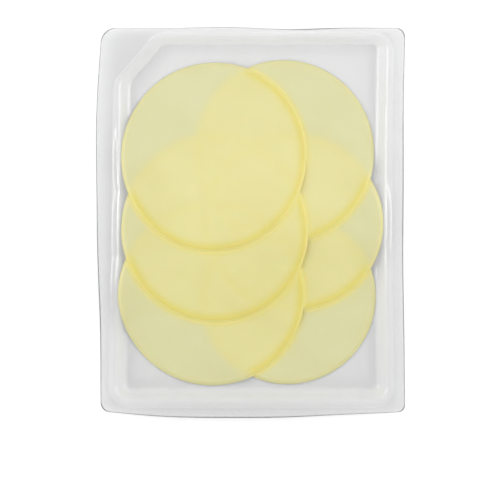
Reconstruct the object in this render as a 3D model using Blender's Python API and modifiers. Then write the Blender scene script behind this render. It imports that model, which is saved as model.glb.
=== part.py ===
"""Sealed clear pack of sliced cheese.

A shallow formed tray of clear plastic holds six thin round slices, laid like roof tiles in two columns of three,
and a clear lid film is sealed to the tray's flange. The left column lies over the right one, and in each column
the slice nearest the top edge lies uppermost. The pack is shut, so nothing in it moves.

Units are metres and +Z is up. The pack lies on its tray floor. +Y points to its top edge and +X to its right.
The origin is on the underside, in the middle of the pack's bounding box.
"""

import collections
import math

import bmesh
import bpy
import numpy as np
from mathutils import Vector

MM = 0.001

# Cut edge of the flange: a rectangle with uneven corners, whose sides are bowed and lean to one end.
EDGE_LEFT, EDGE_RIGHT = -78.0 * MM, 80.2 * MM
EDGE_BOTTOM, EDGE_TOP = -98.8 * MM, 101.0 * MM
Side = collections.namedtuple("Side", "bow lean ripple")
BOTTOM_SIDE = Side(3.0 * MM, 0.5 * MM, 0.2 * MM)
RIGHT_SIDE = Side(-0.8 * MM, 0.1 * MM, 0.2 * MM)
TOP_SIDE = Side(-0.1 * MM, -0.1 * MM, 0.5 * MM)
LEFT_SIDE = Side(2.0 * MM, 0.9 * MM, 0.3 * MM)
EDGE_CORNERS = (5.0 * MM, 3.6 * MM, 4.6 * MM, 8.0 * MM)

# Mouth of the tray, where its rim starts to turn down. Its top left corner is cut off aslant, to leave room to peel
# the lid. Its left side leans outwards towards the bottom, and its right side is bowed in.
MOUTH_LEFT, MOUTH_RIGHT = -69.4 * MM, 73.3 * MM
MOUTH_BOTTOM, MOUTH_TOP = -94.6 * MM, 98.3 * MM
MOUTH_CORNERS = (9.5 * MM, 9.5 * MM, 9.5 * MM, 12.0 * MM)
PEEL_CORNER = Vector((14.0 * MM, 17.0 * MM))
LEFT_LEAN = 2.6 * MM
RIGHT_BOW = 1.2 * MM

# Section of the tray, measured on its outer face.
TRAY_DEPTH = 6.0 * MM
WEB = 0.4 * MM
RIM_BEND = 3.2 * MM
FLOOR_BEND = 4.2 * MM
WALL_ANGLE = math.radians(55)
FLANGE_DROOP = 0.6 * MM
TOP_SPREAD, BOTTOM_SPREAD = 0.65, 1.12

# Slices, from the lowest to the uppermost, as centre and radii.
Cheese = collections.namedtuple("Cheese", "name x y radius_x radius_y")
CHEESES = (
    Cheese("slice_right_lower", 19.9 * MM, -39.8 * MM, 45.8 * MM, 44.6 * MM),
    Cheese("slice_right_middle", 22.3 * MM, 0.1 * MM, 46.7 * MM, 46.9 * MM),
    Cheese("slice_right_upper", 17.6 * MM, 37.2 * MM, 47.4 * MM, 47.7 * MM),
    Cheese("slice_left_lower", -20.0 * MM, -37.2 * MM, 48.2 * MM, 48.5 * MM),
    Cheese("slice_left_middle", -18.7 * MM, -3.4 * MM, 48.8 * MM, 49.2 * MM),
    Cheese("slice_left_upper", -19.2 * MM, 34.6 * MM, 48.7 * MM, 49.5 * MM),
)
SLICE_THICKNESS = 1.1 * MM
SLICE_EDGE_ROUND = 0.35 * MM
UNEVENNESS = 0.006
CLEARANCE = 0.3 * MM
PITCH = SLICE_THICKNESS + CLEARANCE
SAG_LENGTH = 26.0 * MM

# The slices lie in a shallow trough. Where they are wider than the tray's floor, their margins ride up on its walls:
# along most of the left side, and at the middle slice on the right.
TROUGH_START, TROUGH_END = 38.0 * MM, 68.6 * MM
RISE_LEFT, RISE_RIGHT = 5.2 * MM, 4.7 * MM
REACH_LEFT, REACH_RIGHT, REACH_FADE = 36.0 * MM, 6.0 * MM, 40.0 * MM
BOTTOM_START, BOTTOM_END = -66.0 * MM, -85.5 * MM
RISE_BOTTOM = 0.9 * MM

# Lid film, sealed on the outer part of the flange and pushed up by the pile.
FILM = 0.2 * MM
SEAL_HEIGHT = TRAY_DEPTH + WEB + CLEARANCE
SEAL_FROM_MOUTH = 2.0 * MM
FILM_CLEARANCE = 0.3 * MM
FILM_SOFTNESS = 1.2 * MM
FILM_EDGE = 5.0 * MM
FILM_SAG_LENGTH = 48.0 * MM

# Fineness of the faceted shapes.
POINTS_PER_SIDE = 9
POINTS_PER_CORNER = 4
STEPS_PER_BEND = 2
LID_RINGS = (1.0, 0.975, 0.945, 0.89, 0.8, 0.68, 0.56, 0.44, 0.32, 0.21, 0.1)
SLICE_STEPS = 38
SLICE_RINGS = (0.22, 0.42, 0.6, 0.76, 0.89)
MERGE_WITHIN = 0.01 * MM


def clear_scene():
    for old in list(bpy.data.objects):
        bpy.data.objects.remove(old)


def make_collection():
    pack = bpy.data.collections.new("cheese_pack")
    bpy.context.scene.collection.children.link(pack)
    return pack


def make_material(name, colour, roughness, alpha=1.0):
    material = bpy.data.materials.new(name)
    material.use_nodes = True
    shader = material.node_tree.nodes["Principled BSDF"]
    shader.inputs["Base Color"].default_value = (*colour, 1.0)
    shader.inputs["Roughness"].default_value = roughness
    shader.inputs["Metallic"].default_value = 0.0
    shader.inputs["Alpha"].default_value = alpha
    return material


def add_object(collection, name, mesh, material):
    mesh.materials.append(material)
    made = bpy.data.objects.new(name, mesh)
    collection.objects.link(made)
    return made


def ease(t):
    """Runs from 0 to 1 with no slope or bend at either end."""
    t = np.clip(t, 0.0, 1.0)
    return t * t * t * (t * (6.0 * t - 15.0) + 10.0)


# --- Outlines -------------------------------------------------------------------------------------------------


def side_offset(side, share):
    """How far a side of the cut edge stands out at a share of its length, from 0 to 1."""
    bow = side.bow * 4.0 * share * (1.0 - share)
    lean = side.lean * math.sin(2.0 * math.pi * share)
    ripple = side.ripple * math.sin(4.0 * math.pi * share) * math.sin(math.pi * share)
    return bow + lean + ripple


def rounded_rectangle(low, high, corners, sides=None, slant=(0.0, 0.0)):
    """Points of a rounded rectangle, counter-clockwise from the bottom left. The corners are radii, in the same
    order. Each side may have a form, by which its points stand out. The last corner may be cut off aslant: its arc
    is then parted in its middle, by slant."""
    points = []
    middles = []
    for number, (x, y) in enumerate(((low[0], low[1]), (high[0], low[1]), (high[0], high[1]), (low[0], high[1]))):
        inward_x = 1 if x == low[0] else -1
        inward_y = 1 if y == low[1] else -1
        middles.append(Vector((x + inward_x * corners[number], y + inward_y * corners[number])))
    arc_starts = middles[:3] + [middles[3] + Vector((slant[0], 0.0))]
    arc_ends = middles[:3] + [middles[3] - Vector((0.0, slant[1]))]
    for number in range(4):
        following = (number + 1) % 4
        out = Vector((math.sin(number * math.pi / 2), -math.cos(number * math.pi / 2)))
        start = arc_ends[number] + out * corners[number]
        end = arc_starts[following] + out * corners[following]
        for step in range(POINTS_PER_SIDE + 1):
            share = step / POINTS_PER_SIDE
            stands_out = side_offset(sides[number], share) if sides else 0.0
            points.append(start.lerp(end, share) + out * stands_out)
        for step in range(1, POINTS_PER_CORNER):
            turn = (number + step / POINTS_PER_CORNER) * math.pi / 2
            radial = Vector((math.sin(turn), -math.cos(turn)))
            middle = arc_starts[following].lerp(arc_ends[following], round(step / POINTS_PER_CORNER))
            points.append(middle + radial * corners[following])
    return points


def cut_edge():
    """The outline of flange and lid, moved so that the middle of its box is the origin."""
    points = rounded_rectangle(
        (EDGE_LEFT, EDGE_BOTTOM),
        (EDGE_RIGHT, EDGE_TOP),
        EDGE_CORNERS,
        (BOTTOM_SIDE, RIGHT_SIDE, TOP_SIDE, LEFT_SIDE),
    )
    middle_x = (min(p.x for p in points) + max(p.x for p in points)) / 2
    middle_y = (min(p.y for p in points) + max(p.y for p in points)) / 2
    return [Vector((p.x - middle_x, p.y - middle_y)) for p in points]


def mouth(inset=0.0):
    """The tray's mouth, or the same outline moved inwards by inset: less at the top, where the wall is steeper, and
    more at the bottom."""
    points = rounded_rectangle(
        (MOUTH_LEFT + inset, MOUTH_BOTTOM + inset * BOTTOM_SPREAD),
        (MOUTH_RIGHT - inset, MOUTH_TOP - inset * TOP_SPREAD),
        [radius - inset for radius in MOUTH_CORNERS],
        slant=PEEL_CORNER,
    )
    for point in points:
        across = (point.x - MOUTH_LEFT) / (MOUTH_RIGHT - MOUTH_LEFT)
        along = (point.y - MOUTH_BOTTOM) / (MOUTH_TOP - MOUTH_BOTTOM)
        lean = LEFT_LEAN * (1.0 - along) * (1.0 - across)
        bow = RIGHT_BOW * 4.0 * along * (1.0 - along) * across
        point.x -= lean + bow
    return points


# --- Heights --------------------------------------------------------------------------------------------------


def edge_radius(cheese, angle):
    """Distance from a slice's centre to its edge: an ellipse, made a little uneven by two slow waves."""
    ellipse = 1.0 / np.hypot(np.cos(angle) / cheese.radius_x, np.sin(angle) / cheese.radius_y)
    turn = CHEESES.index(cheese) * 2.4
    return ellipse * (1.0 + UNEVENNESS * (np.sin(2.0 * angle + turn) + 0.6 * np.sin(3.0 * angle - turn)))


def cover(cheese, x, y, sag_length=SAG_LENGTH):
    """1 over a slice, easing to 0 at a sag length beyond its edge, where what lies on it has sagged off it."""
    across, along = x - cheese.x, y - cheese.y
    beyond = np.hypot(across, along) - edge_radius(cheese, np.arctan2(along, across))
    return 1.0 - ease(beyond / sag_length)


def trough(x, y):
    """Height of the underside of a slice that lies alone in the tray."""
    side = np.clip((np.abs(x) - TROUGH_START) / (TROUGH_END - TROUGH_START), 0.0, 1.1)
    bottom = np.clip((y - BOTTOM_START) / (BOTTOM_END - BOTTOM_START), 0.0, 1.1)
    left = RISE_LEFT * (1.0 - ease((np.abs(y) - REACH_LEFT) / REACH_FADE))
    right = RISE_RIGHT * (1.0 - ease((np.abs(y) - REACH_RIGHT) / REACH_FADE))
    return WEB + CLEARANCE + np.where(x < 0.0, left, right) * side**2 + RISE_BOTTOM * bottom**2


def pile_height(x, y, count=len(CHEESES), sag_length=SAG_LENGTH):
    """Height of the trough with the lowest slices on it, each of which adds its thickness and a clearance."""
    return trough(x, y) + PITCH * sum(cover(cheese, x, y, sag_length) for cheese in CHEESES[:count])


def lid_height(x, y, seal_distance):
    """Underside of the lid film. It is drawn taut over the pile, so it sags off each slice more slowly than another
    slice would. It rounds off where it meets the height of the seal, and comes down to the flange there."""
    nearness = np.max([cover(cheese, x, y) for cheese in CHEESES], axis=0)
    over = pile_height(x, y, sag_length=FILM_SAG_LENGTH) * nearness + FILM_CLEARANCE - SEAL_HEIGHT
    pushed_up = (over + np.hypot(over, FILM_SOFTNESS)) / 2.0
    return SEAL_HEIGHT + pushed_up * ease(seal_distance / FILM_EDGE)


# --- Pieces ---------------------------------------------------------------------------------------------------


def loft(rings):
    """A surface through rings of equally many points. The last ring is closed with a fan of faces."""
    shell = bmesh.new()
    loops = [[shell.verts.new(point) for point in ring] for ring in rings]
    for outer, inner in zip(loops, loops[1:]):
        for corners in zip(outer, outer[1:] + outer[:1], inner[1:] + inner[:1], inner):
            shell.faces.new(corners)
    bmesh.ops.poke(shell, faces=[shell.faces.new(loops[-1])])
    bmesh.ops.recalc_face_normals(shell, faces=shell.faces)
    if sum(face.normal.z * face.calc_area() for face in shell.faces) > 0:
        bmesh.ops.reverse_faces(shell, faces=shell.faces)
    mesh = bpy.data.meshes.new("loft")
    shell.to_mesh(mesh)
    shell.free()
    return mesh


def thicken(made, thickness):
    """Gives a surface that faces down its thickness, on its upper side."""
    wall = made.modifiers.new("wall", "SOLIDIFY")
    wall.thickness = thickness
    wall.offset = -1.0
    wall.use_even_offset = True


def tray_section():
    """(inset, height) along the tray's outer face, from its mouth down to its floor."""
    section = []
    for step in range(STEPS_PER_BEND + 1):
        turn = WALL_ANGLE * step / STEPS_PER_BEND
        section.append((RIM_BEND * math.sin(turn), TRAY_DEPTH - RIM_BEND * (1.0 - math.cos(turn))))
    wall_top_inset, wall_top = section[-1]
    wall_bottom = FLOOR_BEND * (1.0 - math.cos(WALL_ANGLE))
    wall_run = (wall_top - wall_bottom) / math.tan(WALL_ANGLE)
    floor_inset = wall_top_inset + wall_run + FLOOR_BEND * math.sin(WALL_ANGLE)
    for step in range(STEPS_PER_BEND + 1):
        turn = WALL_ANGLE * (1.0 - step / STEPS_PER_BEND)
        section.append((floor_inset - FLOOR_BEND * math.sin(turn), FLOOR_BEND * (1.0 - math.cos(turn))))
    return section


def make_tray(collection, material):
    rings = [[(p.x, p.y, TRAY_DEPTH - FLANGE_DROOP) for p in cut_edge()]]
    for inset, height in tray_section():
        rings.append([(p.x, p.y, height) for p in mouth(inset)])
    tray = add_object(collection, "tray", loft(rings), material)
    thicken(tray, WEB)


def make_lid(collection, material):
    rings = [[(p.x, p.y, SEAL_HEIGHT - FLANGE_DROOP) for p in cut_edge()]]
    middle = Vector(((MOUTH_LEFT + MOUTH_RIGHT) / 2, (MOUTH_BOTTOM + MOUTH_TOP) / 2))
    for share in LID_RINGS:
        ring = []
        for p in mouth(-SEAL_FROM_MOUTH):
            place = middle.lerp(p, share)
            height = lid_height(place.x, place.y, (p - place).length)
            ring.append((place.x, place.y, float(height)))
        rings.append(ring)
    lid = add_object(collection, "lid_film", loft(rings), material)
    thicken(lid, FILM)


def slice_profile():
    """Half the section of a flat slice of radius 1, from the middle of its top round its edge to its underside.
    Its points are (share of the radius, distance in from the edge, height)."""
    edge = [
        (1.0, SLICE_EDGE_ROUND, SLICE_THICKNESS),
        (1.0, 0.0, SLICE_THICKNESS - SLICE_EDGE_ROUND),
        (1.0, 0.0, SLICE_EDGE_ROUND),
        (1.0, SLICE_EDGE_ROUND, 0.0),
    ]
    top = [(share, 0.0, SLICE_THICKNESS) for share in (0.0, *SLICE_RINGS)]
    underside = [(share, 0.0, 0.0) for share in (*reversed(SLICE_RINGS), 0.0)]
    return top + edge + underside


def turned_slice(cheese):
    """A flat round slice, turned about its centre, as a mesh."""
    radius = max(cheese.radius_x, cheese.radius_y)
    points = [(share * radius - inward, 0.0, height) for share, inward, height in slice_profile()]
    profile = bpy.data.meshes.new("profile")
    profile.from_pydata(points, [(i, i + 1) for i in range(len(points) - 1)], [])
    turned = bpy.data.objects.new("turned", profile)
    bpy.context.scene.collection.objects.link(turned)
    screw = turned.modifiers.new("turn", "SCREW")
    screw.steps = SLICE_STEPS
    screw.render_steps = SLICE_STEPS
    screw.use_merge_vertices = True
    screw.merge_threshold = MERGE_WITHIN
    graph = bpy.context.evaluated_depsgraph_get()
    mesh = bpy.data.meshes.new_from_object(turned.evaluated_get(graph))
    bpy.data.objects.remove(turned)
    return mesh


def drape(mesh, cheese):
    """Gives a turned slice its outline, and lays it on the slices below it."""
    points = np.empty(len(mesh.vertices) * 3)
    mesh.vertices.foreach_get("co", points)
    points = points.reshape(-1, 3)
    distance = np.hypot(points[:, 0], points[:, 1])
    angle = np.arctan2(points[:, 1], points[:, 0])
    distance = distance * edge_radius(cheese, angle) / max(cheese.radius_x, cheese.radius_y)
    x = cheese.x + distance * np.cos(angle)
    y = cheese.y + distance * np.sin(angle)
    z = points[:, 2] + pile_height(x, y, CHEESES.index(cheese))
    mesh.vertices.foreach_set("co", np.column_stack((x, y, z)).ravel())
    mesh.update()


def make_slice(collection, cheese, material):
    mesh = turned_slice(cheese)
    drape(mesh, cheese)
    mesh.shade_smooth()
    mesh.set_sharp_from_angle(angle=math.radians(35))
    add_object(collection, cheese.name, mesh, material)


def main():
    clear_scene()
    pack = make_collection()
    clear_web = make_material("clear_web", (0.80, 0.81, 0.81), 0.15, alpha=0.3)
    clear_film = make_material("clear_film", (0.85, 0.86, 0.86), 0.12, alpha=0.2)
    cheese_paste = make_material("cheese", (0.79, 0.74, 0.39), 0.5)
    make_tray(pack, clear_web)
    make_lid(pack, clear_film)
    for cheese in CHEESES:
        make_slice(pack, cheese, cheese_paste)


main()
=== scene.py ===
"""Looks of a sealed clear pack of sliced cheese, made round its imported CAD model.

The pack lies on its tray floor, with its top edge towards +Y and its lid film up. Lengths are in metres.

Each piece is a closed skin over a grid of two parameters. Columns go once round the piece,
counter-clockwise seen from above. Rows go from the middle of its upper face, over its edge, to the
middle of its underside.
"""

import collections

import bpy
import numpy as np
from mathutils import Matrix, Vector


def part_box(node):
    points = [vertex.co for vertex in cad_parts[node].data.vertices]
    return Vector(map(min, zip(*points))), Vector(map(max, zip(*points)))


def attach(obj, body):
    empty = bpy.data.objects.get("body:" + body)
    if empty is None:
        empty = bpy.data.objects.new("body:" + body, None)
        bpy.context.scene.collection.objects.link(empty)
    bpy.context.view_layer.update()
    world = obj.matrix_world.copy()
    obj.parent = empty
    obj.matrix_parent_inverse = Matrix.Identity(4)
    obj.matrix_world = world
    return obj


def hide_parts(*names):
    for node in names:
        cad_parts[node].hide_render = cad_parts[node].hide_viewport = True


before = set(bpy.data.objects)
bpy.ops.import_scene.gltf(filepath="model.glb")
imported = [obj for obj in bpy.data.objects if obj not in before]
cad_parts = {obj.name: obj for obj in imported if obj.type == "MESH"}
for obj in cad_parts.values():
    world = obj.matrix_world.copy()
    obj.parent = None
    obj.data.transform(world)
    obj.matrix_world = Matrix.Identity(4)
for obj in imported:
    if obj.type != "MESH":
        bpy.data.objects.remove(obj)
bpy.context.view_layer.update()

MM = 0.001

# Sizes that the CAD model has too: the cut edge of flange and film, and the bow, lean and ripple of each
# side, from the bottom one round.
EDGE_LOW, EDGE_HIGH = np.array((-78.0, -98.8)) * MM, np.array((80.2, 101.0)) * MM
EDGE_SIDES = np.array(((3.0, 0.5, 0.2), (-0.8, 0.1, 0.2), (-0.1, -0.1, 0.5), (2.0, 0.9, 0.3))) * MM
EDGE_CORNERS = np.array((5.0, 3.6, 4.6, 8.0)) * MM

# The tray's mouth, where its rim starts to turn down, and the section of its wall.
MOUTH_LOW, MOUTH_HIGH = np.array((-69.4, -94.6)) * MM, np.array((73.3, 98.3)) * MM
MOUTH_CORNERS = np.array((9.5, 9.5, 9.5, 12.0)) * MM
PEEL_CORNER = np.array((14.0, 17.0)) * MM
LEFT_LEAN, RIGHT_BOW = 2.6 * MM, 1.2 * MM
TRAY_DEPTH, WEB = 6.0 * MM, 0.4 * MM
RIM_BEND, FLOOR_BEND = 3.2 * MM, 4.2 * MM
WALL_ANGLE = np.radians(55)
FLANGE_DROOP = 0.6 * MM
TOP_SPREAD, BOTTOM_SPREAD = 0.65, 1.12

# The pile of slices, and the trough that they lie in. The slices sag more closely than the CAD model's
# coarse facets let them, so the sag length and the trough's rise at the bottom are less than they are
# there, and its rise to the sides starts farther out.
SLICE_THICKNESS, CLEARANCE = 1.1 * MM, 0.3 * MM
SLICE_SHOULDER, SLICE_TOE = 2.2 * MM, 0.25 * MM
PITCH = SLICE_THICKNESS + CLEARANCE
SAG_LENGTH = 14.0 * MM
UNEVENNESS, TURN_PER_SLICE = 0.006, 2.4
TROUGH_START, TROUGH_END = 47.0 * MM, 68.6 * MM
RISE_LEFT, RISE_RIGHT = 5.2 * MM, 4.7 * MM
REACH_LEFT, REACH_RIGHT, REACH_FADE = 36.0 * MM, 6.0 * MM, 40.0 * MM
BOTTOM_START, BOTTOM_END, RISE_BOTTOM = -66.0 * MM, -85.5 * MM, 0.2 * MM

# The lid film over it.
FILM, FILM_CLEARANCE, FILM_SOFTNESS, FILM_EDGE = 0.2 * MM, 0.3 * MM, 1.2 * MM, 5.0 * MM
FILM_SAG_LENGTH = 48.0 * MM
SEAL_FROM_MOUTH = 2.0 * MM
SEAL_HEIGHT = TRAY_DEPTH + WEB + CLEARANCE

# How finely the skins are divided. The cut rings lie this many millimetres in from the cut edge, but at
# most at the widest share of the flange. A slice's rings stop just short of its middle, where a fan
# closes them.
PER_SIDE, PER_CORNER, PER_BEND = 110, 16, 15
CUT_RINGS, WIDEST_CUT = (0.0, 0.2, 0.4, 0.6), 0.3
TRAY_FLANGE_SHARES, LID_FLANGE_SHARES = (0.32, 0.5, 0.65, 0.8, 0.92, 1.0), (0.33, 0.6, 0.8)
TRAY_FLOOR_SHARES = (0.93, 0.8, 0.6, 0.4, 0.2, 0.05)
LID_SHARES = np.concatenate((np.linspace(1.0, 0.9, 12), np.linspace(0.88, 0.02, 42)))
SLICE_COLUMNS, SLICE_ROWS, SLICE_EDGE_ROWS = 380, 68, 12
SLICE_CENTRE = 0.012

# The colour of the cheese: alone, over other slices, at a rim, in its clouds and curd, and at its edge. The
# colours over other slices, at a rim and at the edge are painted light, for light that comes through the
# paste. A depth is how much of the cloud colour its densest part takes on.
PASTE_ALONE = "D5D3A1"
PASTE_PAINTED_DEEP = "DED792"
PASTE_PAINTED_RIM = "DCCF60"
PASTE_CLOUD = "F6F2DC"
PASTE_PAINTED_GLOW = "EBDD84"
CLOUD_SIZE, CLOUD_STRETCH, CLOUD_DEPTH = 14.3 * MM, 0.6, 0.28
CURD_SIZE, CURD_DEPTH = 2.5 * MM, 0.12

# Where the cheese's colour changes. The light that comes through falls by the same share for each slice
# below, and is painted into the colour as a deeper tone. A place is a distance in from an edge, and the
# widths are those of a band's inner and outer half; the bands are painted light. The last three are the
# strength of a band along an edge over the bare tray, or of one that shows through from below.
FADE_START, FADE_LENGTH, LIGHT_THROUGH_ONE = 6.0 * MM, 9.0 * MM, 0.15
RIM_PLACE, RIM_WIDTHS = 1.4 * MM, (2.1 * MM, 1.9 * MM)
GLOW_PLACE, GLOW_WIDTHS = 0.2 * MM, (0.75 * MM, 0.6 * MM)
BARE_RIM, BARE_GLOW, HIDDEN_RIM = 0.08, 0.4, 0.16

# The clear plastics: the share of square-on light that a face mirrors, the haze of the flange and of the
# thinner plastic inside it, what the tray's wall and the cut edge add to that, and the colours of the haze.
# The wall's whiter haze is painted light, which lightens the shade beside the slices.
MIRRORED = 0.04
FLANGE_HAZE, WEB_HAZE, FILM_HAZE = 0.063, 0.05, 0.012
WALL_HAZE_PAINTED_LIGHT, EDGE_GREYNESS = 0.12, 0.42
WEB_ROUGHNESS, FILM_ROUGHNESS = 0.1, 0.14
HAZE_GREY, WALL_WHITE_PAINTED_LIGHT = "7C7E80", "E6E7E7"
WAVE_SIZE = 11.1 * MM

# The studio. The radiance is that of a lamp's face, where the room's is about 1. The ceiling's ramp and its
# fading out are given by the share of a direction that goes to +Y.
SOFTBOX_PLACE, SOFTBOX_AIM = (0.57, 0.1, 0.38), (0.0, 0.03, 0.0)
SOFTBOX_WIDTH, SOFTBOX_LENGTH, SOFTBOX_RADIANCE = 0.31, 0.5, 3.0
ROOM_LIGHT, CEILING_DARKER, CEILING_BRIGHTER = 0.98, -0.4, 0.24
RAMP_START, RAMP_END = -0.16, 0.2
CEILING_FULL, CEILING_GONE = 0.22, 0.4
CAMERA_OVER_FLANGE, FRAME_WIDTH, SENSOR_WIDTH = 600.0 * MM, 260.0 * MM, 36.0
CAMERA_X, CAMERA_Y = -0.26 * MM, -14.3 * MM


# --- Shapes -----------------------------------------------------------------------------------------------


def ease(t):
    """6 t^5 - 15 t^4 + 10 t^3: from 0 to 1, with no slope or bend at either end."""
    t = np.clip(t, 0.0, 1.0)
    return t * t * t * (t * (6.0 * t - 15.0) + 10.0)


def rounded_rectangle(low, high, corners, sides=np.zeros((4, 3)), slant=(0.0, 0.0)):
    """Points of a rounded rectangle, counter-clockwise from the bottom left: four straight lines and four
    quarter circles. A line's points stand out by bow * 4 s (1 - s) + lean * sin(2 pi s) + ripple *
    sin(4 pi s) sin(pi s), where s runs from 0 to 1 along it. The last quarter circle is parted in its
    middle, by slant."""
    spots = np.array((low, (high[0], low[1]), high, (low[0], high[1])))
    inward = np.array(((1, 1), (-1, 1), (-1, -1), (1, -1)))
    arc_ends = spots + inward * np.asarray(corners)[:, None]
    arc_starts = arc_ends.copy()
    arc_starts[3, 0] += slant[0]
    arc_ends[3, 1] -= slant[1]
    s = np.linspace(0.0, 1.0, PER_SIDE + 1)[:, None]
    bend = np.linspace(0.0, 1.0, PER_CORNER + 1)[1:-1, None]
    points = []
    for side in range(4):
        after = (side + 1) % 4
        turn = side * np.pi / 2
        out = np.array((np.sin(turn), -np.cos(turn)))
        bow, lean, ripple = sides[side]
        stands_out = bow * 4.0 * s * (1.0 - s) + lean * np.sin(2.0 * np.pi * s)
        stands_out = stands_out + ripple * np.sin(4.0 * np.pi * s) * np.sin(np.pi * s)
        start = arc_ends[side] + out * corners[side]
        end = arc_starts[after] + out * corners[after]
        points.append(start + (end - start) * s + out * stands_out)
        turns = turn + bend * np.pi / 2
        radial = np.hstack((np.sin(turns), -np.cos(turns)))
        middle = np.where(bend < 0.5, arc_starts[after], arc_ends[after])
        points.append(middle + radial * corners[after])
    return np.vstack(points)


def cut_edge():
    """The outline of flange and film, with the middle of its box at the origin."""
    points = rounded_rectangle(EDGE_LOW, EDGE_HIGH, EDGE_CORNERS, EDGE_SIDES)
    return points - (points.min(axis=0) + points.max(axis=0)) / 2


def mouth(inset=0.0):
    """The tray's mouth moved inwards by inset, times the spread of the wall at the top and at the bottom.
    Its left side then leans out in proportion to the way down it, and its right side is bowed in as a
    parabola."""
    low = MOUTH_LOW + inset * np.array((1.0, BOTTOM_SPREAD))
    high = MOUTH_HIGH - inset * np.array((1.0, TOP_SPREAD))
    points = rounded_rectangle(low, high, MOUTH_CORNERS - inset, slant=PEEL_CORNER)
    across, along = ((points - MOUTH_LOW) / (MOUTH_HIGH - MOUTH_LOW)).T
    lean = LEFT_LEAN * (1.0 - along) * (1.0 - across)
    bow = RIGHT_BOW * 4.0 * along * (1.0 - along) * across
    points[:, 0] -= lean + bow
    return points


def wall_section(web):
    """(inset, height) down the wall, from the mouth to the floor: an arc over the rim, a straight slope,
    and an arc into the floor. The arcs keep their middles, and web is added to the first radius and taken
    from the second, so web 0 is the outer face and web WEB the inner one."""
    turn = np.linspace(0.0, WALL_ANGLE, PER_BEND)
    over = np.column_stack((np.sin(turn), np.cos(turn)))
    rim = over * (RIM_BEND + web) + (0.0, TRAY_DEPTH - RIM_BEND)
    slope_height = TRAY_DEPTH - (RIM_BEND + FLOOR_BEND) * (1.0 - np.cos(WALL_ANGLE))
    floor_inset = (RIM_BEND + FLOOR_BEND) * np.sin(WALL_ANGLE) + slope_height / np.tan(WALL_ANGLE)
    floor = over * (web - FLOOR_BEND) + (floor_inset, FLOOR_BEND)
    slope = np.linspace(rim[-1], floor[-1], 5)[1:-1]
    return np.vstack((rim, slope, floor[::-1]))


Cheese = collections.namedtuple("Cheese", "name number x y radius_x radius_y")


def read_slices():
    """Each slice's place and radii, from the box of its CAD node, from the lowest slice up."""
    names = ("right_lower", "right_middle", "right_upper", "left_lower", "left_middle", "left_upper")
    slices = []
    for number, name in enumerate(names):
        low, high = (np.array(corner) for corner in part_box("slice_" + name))
        middle, half = (low + high) / 2, (high - low) / 2
        slices.append(Cheese(name, number, middle[0], middle[1], half[0], half[1]))
    return slices


CHEESES = read_slices()


def edge_radius(cheese, angle):
    """Radius of an ellipse in a direction, times 1 + u (sin(2 a + turn) + 0.6 sin(3 a - turn)): two slow
    waves, turned from slice to slice."""
    ellipse = 1.0 / np.hypot(np.cos(angle) / cheese.radius_x, np.sin(angle) / cheese.radius_y)
    turn = cheese.number * TURN_PER_SLICE
    return ellipse * (1.0 + UNEVENNESS * (np.sin(2.0 * angle + turn) + 0.6 * np.sin(3.0 * angle - turn)))


def beyond(cheese, x, y):
    """Distance outwards from a slice's edge, below 0 inside it."""
    across, along = x - cheese.x, y - cheese.y
    return np.hypot(across, along) - edge_radius(cheese, np.arctan2(along, across))


def pile_height(x, y, count=len(CHEESES), sag_length=SAG_LENGTH):
    """Height of the trough, plus a pitch for each of the lowest slices, easing to 0 over the sag length
    outside it. The trough is a parabola in the distance from its flat middle, to either side and to the
    bottom. To the sides it fades out beyond a reach, to the top and the bottom."""
    side = np.clip((np.abs(x) - TROUGH_START) / (TROUGH_END - TROUGH_START), 0.0, 1.1)
    bottom = np.clip((y - BOTTOM_START) / (BOTTOM_END - BOTTOM_START), 0.0, 1.1)
    left = RISE_LEFT * (1.0 - ease((np.abs(y) - REACH_LEFT) / REACH_FADE))
    right = RISE_RIGHT * (1.0 - ease((np.abs(y) - REACH_RIGHT) / REACH_FADE))
    height = WEB + CLEARANCE + np.where(x < 0.0, left, right) * side**2 + RISE_BOTTOM * bottom**2
    for cheese in CHEESES[:count]:
        height = height + PITCH * (1.0 - ease(beyond(cheese, x, y) / sag_length))
    return height


def lid_height(x, y, seal_distance):
    """Underside of the lid film: the seal height plus (o + sqrt(o^2 + softness^2)) / 2, where o is how far
    the pile, drawn with the film's own longer sag, stands over the seal. It is eased to 0 at the seal."""
    nearness = 1.0 - ease(np.min([beyond(cheese, x, y) for cheese in CHEESES], axis=0) / SAG_LENGTH)
    over = pile_height(x, y, sag_length=FILM_SAG_LENGTH) * nearness + FILM_CLEARANCE - SEAL_HEIGHT
    pushed_up = (over + np.hypot(over, FILM_SOFTNESS)) / 2.0
    return SEAL_HEIGHT + pushed_up * ease(seal_distance / FILM_EDGE)


# --- Pieces -----------------------------------------------------------------------------------------------


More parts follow.
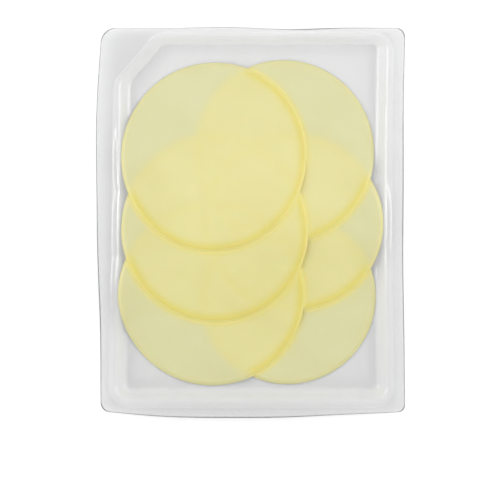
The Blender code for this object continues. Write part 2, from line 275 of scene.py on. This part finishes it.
def skin(name, rows, marks, material, node):
    """A closed skin over rows of points, each a ring. A point in the middle of the first row and one in the
    middle of the last close it with fans. marks gives a number to each point, as attributes of the mesh."""
    count, columns = rows.shape[:2]
    points = np.vstack((rows[0].mean(axis=0), rows.reshape(-1, 3), rows[-1].mean(axis=0)))
    row, column = np.meshgrid(np.arange(count - 1), np.arange(columns), indexing="ij")
    after = (column + 1) % columns
    quads = np.stack((row * columns + column, (row + 1) * columns + column, (row + 1) * columns + after,
                      row * columns + after), axis=-1).reshape(-1, 4) + 1
    ring = np.arange(columns)
    after = (ring + 1) % columns
    last = (count - 1) * columns + 1
    top = np.column_stack((np.zeros_like(ring), ring + 1, after + 1))
    bottom = np.column_stack((np.full_like(ring, len(points) - 1), last + after, last + ring))
    mesh = bpy.data.meshes.new(name)
    mesh.from_pydata(points.tolist(), [], top.tolist() + quads.tolist() + bottom.tolist())
    for mark, values in marks.items():
        numbers = np.concatenate((values[0][:1], values.ravel(), values[-1][:1]))
        mesh.attributes.new(mark, "FLOAT", "POINT").data.foreach_set("value", numbers)
    mesh.shade_smooth()
    mesh.materials.append(material)
    piece = bpy.data.objects.new(name, mesh)
    bpy.context.scene.collection.objects.link(piece)
    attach(piece, "root")
    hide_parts(node)
    return piece


def flange_rows(inner, height, inner_shares):
    """Rings from the cut edge towards an inner outline. The first few are a fixed distance in from the
    edge, to make its narrow band, and the others lie at shares of the way. Their height falls by the
    droop times (1 - share)^2."""
    edge = cut_edge()
    width = np.linalg.norm(inner - edge, axis=1)[:, None]
    shares = [np.minimum(inward * MM / width, WIDEST_CUT) for inward in CUT_RINGS]
    shares += [np.full_like(width, share) for share in inner_shares]
    return [np.hstack((edge + (inner - edge) * share, height - FLANGE_DROOP * (1.0 - share) ** 2))
            for share in shares]


def tray_face(web):
    """One face of the tray, from its cut edge to near the middle of its floor, as rings, and how many of
    them lie on its flange and on its wall. The wall's rings are the mouth moved inwards as the section
    says, and the floor's are the last of them drawn towards its middle in shares."""
    rows = flange_rows(mouth(), TRAY_DEPTH + web, TRAY_FLANGE_SHARES)
    on_flange = len(rows)
    section = wall_section(web)
    rows[-1:] = [np.hstack((outline, np.full((len(outline), 1), height)))
                 for outline, height in ((mouth(inset), height) for inset, height in section)]
    floor = rows[-1]
    middle = floor.mean(axis=0)
    rows += [middle + (floor - middle) * share for share in TRAY_FLOOR_SHARES]
    return rows, on_flange, len(section)


def lid_face(thickness):
    """One face of the lid film, from its cut edge over its seal to near its middle, as rings, and how many
    of them lie on the flange and on a wall, of which it has none. Inside the seal, its outline is drawn
    towards the middle in shares, and the lid's height is taken there."""
    seal = mouth(-SEAL_FROM_MOUTH)
    rows = flange_rows(seal, SEAL_HEIGHT, LID_FLANGE_SHARES)
    on_flange = len(rows) + 1
    middle = (MOUTH_LOW + MOUTH_HIGH) / 2
    for share in LID_SHARES:
        flat = middle + (seal - middle) * share
        height = lid_height(flat[:, 0], flat[:, 1], np.linalg.norm(seal - flat, axis=1))
        rows.append(np.column_stack((flat, height)))
    return [row + (0.0, 0.0, thickness) for row in rows], on_flange, 0


def make_shell(name, face, thickness, material, node):
    """A thin closed shell: its upper face from the middle to the edge, and its lower face back to the
    middle. It is marked where it is cut, where it is flat flange, at its full gauge, and where it is bent
    down as a wall, by the root of half a sine wave over the rings there."""
    (upper, on_flange, on_wall), (lower, _, _) = face(thickness), face(0.0)
    rows = np.array(upper[::-1] + lower)
    cut, full_gauge, bent = np.zeros((3, *rows.shape[:2]))
    middle = len(upper)
    cut[middle - len(CUT_RINGS) + 1:middle + len(CUT_RINGS) - 1] = 1.0
    full_gauge[middle - on_flange:middle + on_flange] = 1.0
    # The bent mark places the whiter haze on the tray's wall, which is painted light.
    ramp = np.sin(np.linspace(0.0, np.pi, on_wall))[:, None] ** 0.5
    bent[middle + on_flange:middle + on_flange + on_wall] = ramp
    bent[middle - on_flange - on_wall:middle - on_flange] = ramp
    piece = skin(name, rows, {"cut_edge": cut, "full_gauge": full_gauge, "bent": bent}, material, node)


def slice_profile():
    """(share of the flat radius, way out over the edge, height) from near the middle of a slice's top, over
    its edge, to near the middle of its underside. The edge falls as a share s of the shoulder goes out, by
    0.8 (3 s^2 - 2 s^3) + 0.2 s^6 of its height: it is soft and pressed down, and its toe reaches nearly to
    what the slice lies on."""
    top = [(share, 0.0, SLICE_THICKNESS) for share in np.linspace(SLICE_CENTRE, 1.0, SLICE_ROWS)[:-1]]
    drop = SLICE_THICKNESS + SLICE_TOE
    over = [(1.0, SLICE_SHOULDER * s, SLICE_THICKNESS - drop * (0.8 * s * s * (3.0 - 2.0 * s) + 0.2 * s**6))
            for s in np.linspace(0.0, 1.0, SLICE_EDGE_ROWS)]
    toe = [(1.0, SLICE_SHOULDER - SLICE_TOE * 2.0, -SLICE_TOE), (1.0, 0.0, 0.0)]
    underside = [(share, 0.0, 0.0) for share in np.linspace(1.0, SLICE_CENTRE, SLICE_ROWS // 3)[1:]]
    return np.array(top + over + toe + underside)


def bell(distance, inner, outer):
    """exp(-(d / width)^2 / 2), with one width below 0 and another above it."""
    width = np.where(distance < 0.0, inner, outer)
    return np.exp(-((distance / width) ** 2) / 2.0)


def slice_marks(cheese, x, y):
    """What lies over and under each point of a slice, as marks for the light painted into its colour.
    under: 1 - 0.15^n, where n counts the slices below it, each fading in over a few millimetres from its
    edge. It paints the deeper colour of light that comes through from the slices below.
    rim: a soft painted band of the yellower light through the paste, a little inside each edge that shows
    here, full where the edge lies on cheese and weak where it lies on the bare tray, and very faint for an
    edge that is hidden below this slice.
    painted_glow: a narrow painted band along the same edges, where light that has spread through the paste
    comes out."""
    edges = [beyond(other, x, y) for other in CHEESES]
    own, hidden, above = edges[cheese.number], edges[:cheese.number], edges[cheese.number + 1:]
    below = [1.0 - ease((edge + FADE_START) / FADE_LENGTH) for edge in hidden]
    count = np.sum(below, axis=0) if below else np.zeros_like(x)
    support = np.clip(count, 0.0, 1.0)
    painted_rims = [bell(own + RIM_PLACE, *RIM_WIDTHS) * (BARE_RIM + (1.0 - BARE_RIM) * support)]
    painted_rims += [bell(edge + RIM_PLACE, *RIM_WIDTHS) for edge in above]
    painted_rims += [bell(edge + RIM_PLACE, *RIM_WIDTHS) * HIDDEN_RIM for edge in hidden]
    painted_glows = [bell(own + GLOW_PLACE, *GLOW_WIDTHS) * (BARE_GLOW + (1.0 - BARE_GLOW) * support)]
    painted_glows += [bell(edge + GLOW_PLACE, *GLOW_WIDTHS) for edge in above]
    return {"under": 1.0 - LIGHT_THROUGH_ONE**count, "rim": np.max(painted_rims, axis=0),
            "painted_glow": np.max(painted_glows, axis=0)}


def make_slice(cheese, material):
    """A slice laid on the pile below it: the profile is turned about its middle, and its heights are added
    to the pile's."""
    share, out, height = slice_profile().T[:, :, None]
    angle = np.linspace(0.0, 2.0 * np.pi, SLICE_COLUMNS, endpoint=False)
    distance = share * (edge_radius(cheese, angle) - SLICE_SHOULDER) + out
    x = cheese.x + distance * np.cos(angle)
    y = cheese.y + distance * np.sin(angle)
    z = height + pile_height(x, y, cheese.number)
    piece = skin("cheese_" + cheese.name, np.stack((x, y, z), axis=-1), slice_marks(cheese, x, y), material,
                 "slice_" + cheese.name)


# --- Materials --------------------------------------------------------------------------------------------


def colour(hex_text):
    """Linear colour of an sRGB hex value."""
    parts = np.array([int(hex_text[i:i + 2], 16) for i in (0, 2, 4)]) / 255.0
    linear = np.where(parts <= 0.04045, parts / 12.92, ((parts + 0.055) / 1.055) ** 2.4)
    return (*linear.tolist(), 1.0)


def new_material(name):
    """A material with no nodes yet, and its node tree."""
    material = bpy.data.materials.new(name)
    material.use_nodes = True
    material.node_tree.nodes.clear()
    return material, material.node_tree


def add(tree, kind, inputs=None, **settings):
    """The outputs of a new node with these settings. Each input gets a plain value, or a link from a
    socket."""
    node = tree.nodes.new(kind)
    for name, value in settings.items():
        setattr(node, name, value)
    for name, value in (inputs or {}).items():
        if isinstance(value, bpy.types.NodeSocket):
            tree.links.new(value, node.inputs[name])
        else:
            node.inputs[name].default_value = value
    return node.outputs


def semi_hard_cheese():
    """Pressed semi-hard cheese, sliced by machine and packed at once: a smooth, close, slightly waxy paste.
    It lets some light through, most of it at its thin edge. That light is painted into its colour: paler
    where it lies alone, deeper over other slices and along an edge that lies on one, and bright at the thin
    edge itself. Its gloss is soft and uneven, where the fat has come out."""
    material, tree = new_material("semi_hard_cheese")
    under, rim, painted_glow = (add(tree, "ShaderNodeAttribute", attribute_name=mark)["Fac"]
                        for mark in ("under", "rim", "painted_glow"))
    # Slow clouds, drawn out sideways, and a finer curd.
    place = add(tree, "ShaderNodeTexCoord")["Object"]
    wide = add(tree, "ShaderNodeMapping", {"Vector": place, "Scale": (CLOUD_STRETCH, 1.0, 1.0)})["Vector"]
    clouds = add(tree, "ShaderNodeTexNoise",
                 {"Vector": wide, "Scale": 1.0 / CLOUD_SIZE, "Detail": 2.0, "Roughness": 0.5})["Fac"]
    curd = add(tree, "ShaderNodeTexNoise",
               {"Vector": place, "Scale": 1.0 / CURD_SIZE, "Detail": 3.0, "Roughness": 0.6})["Fac"]
    cloudy = add(tree, "ShaderNodeMapRange", {"Value": clouds, "From Min": 0.35, "From Max": 0.65,
                                              "To Min": 0.0, "To Max": CLOUD_DEPTH})["Result"]
    curdled = add(tree, "ShaderNodeMapRange", {"Value": curd, "From Min": 0.4, "From Max": 0.7,
                                               "To Min": 0.0, "To Max": CURD_DEPTH})["Result"]
    sheen = add(tree, "ShaderNodeMapRange", {"Value": clouds, "From Min": 0.3, "From Max": 0.7,
                                             "To Min": 0.42, "To Max": 0.58})["Result"]
    # The deeper colour over other slices, the rim band and the bright band at the edge are painted light,
    # for light that comes through the paste. The clouds and curd are the paste's own colour.
    paste = colour(PASTE_ALONE)
    for blend, share, tone in (("MIX", under, PASTE_PAINTED_DEEP), ("MIX", rim, PASTE_PAINTED_RIM),
                               ("MULTIPLY", cloudy, PASTE_CLOUD), ("MULTIPLY", curdled, PASTE_CLOUD),
                               ("MIX", painted_glow, PASTE_PAINTED_GLOW)):
        paste = add(tree, "ShaderNodeMix", {0: share, 6: paste, 7: colour(tone)},
                    data_type="RGBA", blend_type=blend)[2]
    bump = add(tree, "ShaderNodeBump", {"Height": curd, "Strength": 0.12, "Distance": 0.2 * MM})["Normal"]
    shader = add(tree, "ShaderNodeBsdfPrincipled",
                 {"Base Color": paste, "Roughness": sheen, "Normal": bump, "IOR": 1.45,
                  "Specular IOR Level": 0.35, "Subsurface Weight": 0.15, "Subsurface Scale": 2.0 * MM})
    add(tree, "ShaderNodeOutputMaterial", {"Surface": shader["BSDF"]})
    return material


def clear_plastic(name, roughness, thin_haze):
    """Clear packaging plastic. Light goes straight through it, but for what each face mirrors: 4 in 100 seen
    square on, and more the more it is seen aslant, as 0.04 + 0.96 (1 - cos)^5. It has a faint grey haze,
    less where it was drawn thin in forming. On the tray's wall a whiter haze is painted light, which
    lightens the shade beside the slices. Its cut edge, where the light is caught inside it, shows as a thin
    grey line.
    It isn't quite flat, so what it mirrors is drawn soft."""
    material, tree = new_material(name)
    full_gauge, cut_edge_mark, bent = (add(tree, "ShaderNodeAttribute", attribute_name=mark)["Fac"]
                                       for mark in ("full_gauge", "cut_edge", "bent"))
    place = add(tree, "ShaderNodeTexCoord")["Object"]
    waves = add(tree, "ShaderNodeTexNoise",
                {"Vector": place, "Scale": 1.0 / WAVE_SIZE, "Detail": 1.0, "Roughness": 0.4})["Fac"]
    bump = add(tree, "ShaderNodeBump", {"Height": waves, "Strength": 0.03, "Distance": 0.5 * MM})["Normal"]
    facing = add(tree, "ShaderNodeLayerWeight", {"Blend": 0.5})["Facing"]
    fifth = add(tree, "ShaderNodeMath", {0: facing, 1: 5.0}, operation="POWER")["Value"]
    mirrored = add(tree, "ShaderNodeMath", {0: fifth, 1: 1.0 - MIRRORED, 2: MIRRORED},
                   operation="MULTIPLY_ADD")["Value"]
    through = add(tree, "ShaderNodeBsdfTransparent", {"Color": colour("FFFFFF")})["BSDF"]
    gloss = add(tree, "ShaderNodeBsdfPrincipled",
                {"Base Color": colour("FFFFFF"), "Metallic": 1.0, "Roughness": roughness,
                 "Normal": bump})["BSDF"]
    clear = add(tree, "ShaderNodeMixShader", {0: mirrored, 1: through, 2: gloss})["Shader"]
    haze = thin_haze
    # The bent mark adds a whiter haze, painted light that lightens the shade on the tray's wall beside the
    # slices.
    for mark, more_haze in ((full_gauge, FLANGE_HAZE - thin_haze), (cut_edge_mark, EDGE_GREYNESS),
                            (bent, WALL_HAZE_PAINTED_LIGHT)):
        haze = add(tree, "ShaderNodeMath", {0: mark, 1: more_haze, 2: haze},
                   operation="MULTIPLY_ADD")["Value"]
    tint = add(tree, "ShaderNodeMix", {0: bent, 6: colour(HAZE_GREY), 7: colour(WALL_WHITE_PAINTED_LIGHT)},
               data_type="RGBA")[2]
    hazy = add(tree, "ShaderNodeBsdfPrincipled", {"Base Color": tint, "Roughness": 0.4})["BSDF"]
    both = add(tree, "ShaderNodeMixShader", {0: haze, 1: clear, 2: hazy})["Shader"]
    add(tree, "ShaderNodeOutputMaterial", {"Surface": both})
    return material


def matt_white_table():
    """Matt white laminate under the pack. It gives nearly all the light back, and hardly shines."""
    material, tree = new_material("matt_white_table")
    shader = add(tree, "ShaderNodeBsdfPrincipled",
                 {"Base Color": colour("FBFBFB"), "Roughness": 0.9, "Specular IOR Level": 0.1})
    add(tree, "ShaderNodeOutputMaterial", {"Surface": shader["BSDF"]})
    return material


# --- Studio -----------------------------------------------------------------------------------------------


def make_floor():
    """A wide flat floor, just under the tray."""
    half, height = 3.0, -0.2 * MM
    mesh = bpy.data.meshes.new("floor")
    corners = [(-half, -half, height), (half, -half, height), (half, half, height), (-half, half, height)]
    mesh.from_pydata(corners, [], [(0, 1, 2, 3)])
    mesh.materials.append(matt_white_table())
    floor = bpy.data.objects.new("floor", mesh)
    bpy.context.scene.collection.objects.link(floor)


def add_softbox(name, place):
    """A white rectangular lamp that faces the pack. Its power is radiance * area * pi."""
    lamp = bpy.data.lights.new(name, "AREA")
    lamp.shape = "RECTANGLE"
    lamp.size, lamp.size_y = SOFTBOX_WIDTH, SOFTBOX_LENGTH
    lamp.energy = SOFTBOX_RADIANCE * SOFTBOX_WIDTH * SOFTBOX_LENGTH * np.pi
    softbox = bpy.data.objects.new(name, lamp)
    softbox.location = place
    softbox.rotation_euler = (Vector(SOFTBOX_AIM) - Vector(place)).to_track_quat("-Z", "Y").to_euler()
    bpy.context.scene.collection.objects.link(softbox)


def light_room():
    """An even room. Straight over the pack, its ceiling is dimmer to the bottom edge's side and brighter to
    the top edge's side, by a ramp that is added to the room's light and fades out away from there."""
    world = bpy.data.worlds.new("room")
    world.use_nodes = True
    tree = world.node_tree
    direction = add(tree, "ShaderNodeTexCoord")["Generated"]
    along = add(tree, "ShaderNodeSeparateXYZ", {"Vector": direction})["Y"]
    ramp = add(tree, "ShaderNodeMapRange",
               {"Value": along, "From Min": RAMP_START, "From Max": RAMP_END,
                "To Min": CEILING_DARKER, "To Max": CEILING_BRIGHTER})["Result"]
    aside = add(tree, "ShaderNodeMath", {0: along}, operation="ABSOLUTE")["Value"]
    overhead = add(tree, "ShaderNodeMapRange",
                   {"Value": aside, "From Min": CEILING_FULL, "From Max": CEILING_GONE,
                    "To Min": 1.0, "To Max": 0.0})["Result"]
    brightness = add(tree, "ShaderNodeMath", {0: ramp, 1: overhead, 2: ROOM_LIGHT},
                     operation="MULTIPLY_ADD")["Value"]
    background = tree.nodes["Background"]
    background.inputs["Color"].default_value = (1.0, 1.0, 1.0, 1.0)
    tree.links.new(brightness, background.inputs["Strength"])
    bpy.context.scene.world = world
    bpy.context.scene.view_settings.view_transform = "Standard"


def light_studio():
    """Two large softboxes at the sides, set towards the pack's top edge, in the room."""
    x, y, z = SOFTBOX_PLACE
    add_softbox("left_softbox", (-x, y, z))
    add_softbox("right_softbox", (x, y, z))
    light_room()


def place_camera():
    """A camera that looks straight down on the pack. Its frame has the named width at the flange."""
    lens = bpy.data.cameras.new("camera")
    lens.sensor_width = SENSOR_WIDTH
    lens.lens = SENSOR_WIDTH * CAMERA_OVER_FLANGE / FRAME_WIDTH
    camera = bpy.data.objects.new("camera", lens)
    camera.location = (CAMERA_X, CAMERA_Y, TRAY_DEPTH + CAMERA_OVER_FLANGE)
    bpy.context.scene.collection.objects.link(camera)
    bpy.context.scene.camera = camera


def main():
    web = clear_plastic("thermoformed_clear_web", WEB_ROUGHNESS, WEB_HAZE)
    film = clear_plastic("clear_lidding_film", FILM_ROUGHNESS, FILM_HAZE)
    make_shell("clear_tray", tray_face, WEB, web, "tray")
    make_shell("clear_lid", lid_face, FILM, film, "lid_film")
    paste = semi_hard_cheese()
    for cheese in CHEESES:
        make_slice(cheese, paste)
    make_floor()
    light_studio()
    place_camera()


main()
